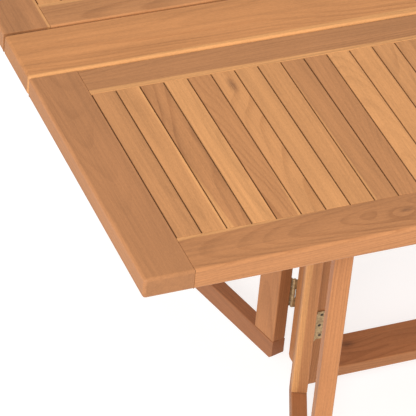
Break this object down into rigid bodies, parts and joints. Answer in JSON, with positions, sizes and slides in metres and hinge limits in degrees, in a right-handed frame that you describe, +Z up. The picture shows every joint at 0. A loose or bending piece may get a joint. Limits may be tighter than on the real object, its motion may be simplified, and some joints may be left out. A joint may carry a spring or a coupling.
{
  "type": "folding drop-leaf garden table",
  "caption": "Rectangular slatted teak garden table with a fixed middle board, two hinged leaves and swinging gate legs that fold flat under the board.",
  "frame": {"origin": "on the ground, under the middle of the top", "axes": "+X along the table's length, +Y across it towards the back leaf, +Z up"},
  "size_m": [1.6, 1, 0.75],
  "materials": {
    "teak_top": "oiled, sanded, satin",
    "teak_slats": "oiled, sanded, satin",
    "teak_frame": "oiled, sanded, satin",
    "teak_stop": "matt",
    "brass": "dulled"
  },
  "bodies": {
    "centre_frame": {"centre_board": "teak_top", "left_post": "teak_frame", "right_post": "teak_frame", "lower_stretcher": "teak_frame", "front_left_gate_low_hinge_post_plate": "brass", "front_left_gate_high_hinge_post_plate": "brass", "front_right_gate_low_hinge_post_plate": "brass", "front_right_gate_high_hinge_post_plate": "brass", "back_left_gate_low_hinge_post_plate": "brass", "back_left_gate_high_hinge_post_plate": "brass", "back_right_gate_low_hinge_post_plate": "brass", "back_right_gate_high_hinge_post_plate": "brass", "front_leaf_left_hinge_board_plate": "brass", "front_leaf_right_hinge_board_plate": "brass", "back_leaf_left_hinge_board_plate": "brass", "back_leaf_right_hinge_board_plate": "brass"},
    "front_leaf": {"front_leaf_left_stile": "teak_top", "front_leaf_right_stile": "teak_top", "front_leaf_inner_rail": "teak_top", "front_leaf_outer_rail": "teak_top", "front_leaf_slats": "teak_slats", "front_leaf_left_hinge_leaf_plate": "brass", "front_leaf_right_hinge_leaf_plate": "brass", "front_left_leg_stop": "teak_stop", "front_right_leg_stop": "teak_stop"},
    "back_leaf": {"back_leaf_left_stile": "teak_top", "back_leaf_right_stile": "teak_top", "back_leaf_inner_rail": "teak_top", "back_leaf_outer_rail": "teak_top", "back_leaf_slats": "teak_slats", "back_leaf_left_hinge_leaf_plate": "brass", "back_leaf_right_hinge_leaf_plate": "brass", "back_left_leg_stop": "teak_stop", "back_right_leg_stop": "teak_stop"},
    "front_left_gate": {"front_left_gate_stile": "teak_frame", "front_left_gate_leg": "teak_frame", "front_left_gate_low_rail": "teak_frame", "front_left_gate_high_rail": "teak_frame", "front_left_gate_low_hinge_gate_plate": "brass", "front_left_gate_high_hinge_gate_plate": "brass"},
    "front_right_gate": {"front_right_gate_stile": "teak_frame", "front_right_gate_leg": "teak_frame", "front_right_gate_low_rail": "teak_frame", "front_right_gate_high_rail": "teak_frame", "front_right_gate_low_hinge_gate_plate": "brass", "front_right_gate_high_hinge_gate_plate": "brass"},
    "back_left_gate": {"back_left_gate_stile": "teak_frame", "back_left_gate_leg": "teak_frame", "back_left_gate_low_rail": "teak_frame", "back_left_gate_high_rail": "teak_frame", "back_left_gate_low_hinge_gate_plate": "brass", "back_left_gate_high_hinge_gate_plate": "brass"},
    "back_right_gate": {"back_right_gate_stile": "teak_frame", "back_right_gate_leg": "teak_frame", "back_right_gate_low_rail": "teak_frame", "back_right_gate_high_rail": "teak_frame", "back_right_gate_low_hinge_gate_plate": "brass", "back_right_gate_high_hinge_gate_plate": "brass"}
  },
  "joints": [
    {"name": "front_leaf_lift", "type": "hinge", "parent": "centre_frame", "child": "front_leaf", "pos_m": [0, -0.05365, 0.7154], "axis": [-1, 0, 0], "range_deg": [0, 3]},
    {"name": "back_leaf_lift", "type": "hinge", "parent": "centre_frame", "child": "back_leaf", "pos_m": [0, 0.05365, 0.7154], "axis": [1, 0, 0], "range_deg": [0, 3]},
    {"name": "front_left_gate_swing", "type": "hinge", "parent": "centre_frame", "child": "front_left_gate", "pos_m": [-0.3096, -0.0423, 0.378], "axis": [0, 0, -1], "range_deg": [0, 67.5]},
    {"name": "front_right_gate_swing", "type": "hinge", "parent": "centre_frame", "child": "front_right_gate", "pos_m": [0.3096, -0.0423, 0.378], "axis": [0, 0, 1], "range_deg": [0, 67.5]},
    {"name": "back_left_gate_swing", "type": "hinge", "parent": "centre_frame", "child": "back_left_gate", "pos_m": [-0.3096, 0.0423, 0.378], "axis": [0, 0, 1], "range_deg": [0, 75.5]},
    {"name": "back_right_gate_swing", "type": "hinge", "parent": "centre_frame", "child": "back_right_gate", "pos_m": [0.3096, 0.0423, 0.378], "axis": [0, 0, -1], "range_deg": [0, 75.5]}
  ]
}
